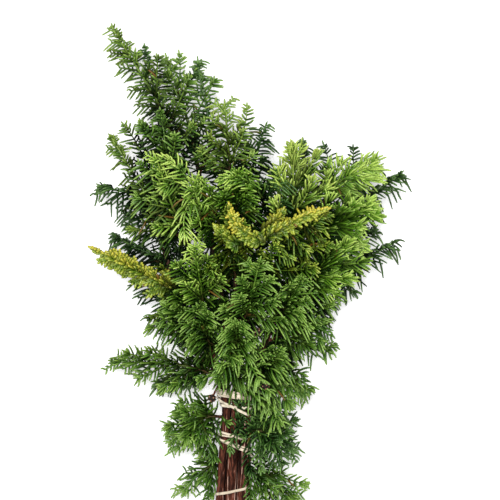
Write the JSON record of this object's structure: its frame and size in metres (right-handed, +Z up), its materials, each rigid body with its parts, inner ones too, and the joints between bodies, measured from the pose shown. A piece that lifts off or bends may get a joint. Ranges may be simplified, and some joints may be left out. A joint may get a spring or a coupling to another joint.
{
  "type": "tied bunch of cut hinoki cypress branches",
  "caption": "Tied bunch of cut cypress branches with flat, drooping sprays of scale leaves, slanted cut stems, small seed cones and a raffia binding, lying flat.",
  "frame": {"origin": "on the surface that the bunch lies on, in the middle of its footprint", "axes": "+Y runs from the cut stem ends to the tips, +Z is up from the surface to the bunch's face, and +X is the bunch's right seen from above"},
  "size_m": [0.3283, 0.5435, 0.1417],
  "materials": {
    "foliage_green": "satin",
    "foliage_dark": "satin",
    "foliage_light": "satin",
    "foliage_gold": "satin",
    "bark": "rough fibrous bark",
    "raffia": "dry plant fibre",
    "seed_cone": "matt"
  },
  "bodies": {
    "root": {"raffia_tie": "raffia", "seed_cone_collar": "seed_cone", "seed_cone_face": "seed_cone", "seed_cone_tie": "seed_cone", "spray_back_left": "foliage_dark", "spray_back_middle": "foliage_dark", "spray_back_right": "foliage_dark", "spray_back_waist": "foliage_dark", "spray_centre_dark": "foliage_dark", "spray_centre_nod": "foliage_light", "spray_centre_right": "foliage_dark", "spray_centre_top": "foliage_green", "spray_collar_front": "foliage_green", "spray_collar_right": "foliage_green", "spray_face_left": "foliage_green", "spray_face_low": "foliage_green", "spray_face_middle": "foliage_green", "spray_face_right": "foliage_green", "spray_feather": "foliage_light", "spray_gold_left": "foliage_gold", "spray_gold_right": "foliage_gold", "spray_left_gold": "foliage_gold", "spray_left_inner": "foliage_green", "spray_left_lower": "foliage_dark", "spray_left_middle": "foliage_dark", "spray_left_plume": "foliage_green", "spray_left_upper": "foliage_dark", "spray_lime_face": "foliage_light", "spray_lime_fan": "foliage_light", "spray_lime_inner": "foliage_light", "spray_lime_low": "foliage_light", "spray_lime_wide": "foliage_light", "spray_lobe_left": "foliage_green", "spray_lobe_left_low": "foliage_green", "spray_lobe_right": "foliage_dark", "spray_lobe_right_low": "foliage_green", "spray_low_left": "foliage_dark", "spray_low_plume": "foliage_green", "spray_right_back": "foliage_dark", "spray_right_dark": "foliage_dark", "spray_right_face": "foliage_light", "spray_right_fork": "foliage_dark", "spray_right_low": "foliage_green", "spray_right_nod": "foliage_dark", "spray_right_top": "foliage_dark", "spray_right_under": "foliage_dark", "spray_second_plume": "foliage_green", "spray_second_right": "foliage_dark", "spray_skirt_right": "foliage_green", "spray_top_behind": "foliage_dark", "spray_top_face": "foliage_green", "spray_top_plume": "foliage_green", "spray_waist_right": "foliage_green", "spray_waist_tip": "foliage_green", "stem_back_left": "bark", "stem_back_mid": "bark", "stem_back_right": "bark", "stem_front_left": "bark", "stem_front_mid": "bark", "stem_front_right": "bark"}
  },
  "joints": []
}
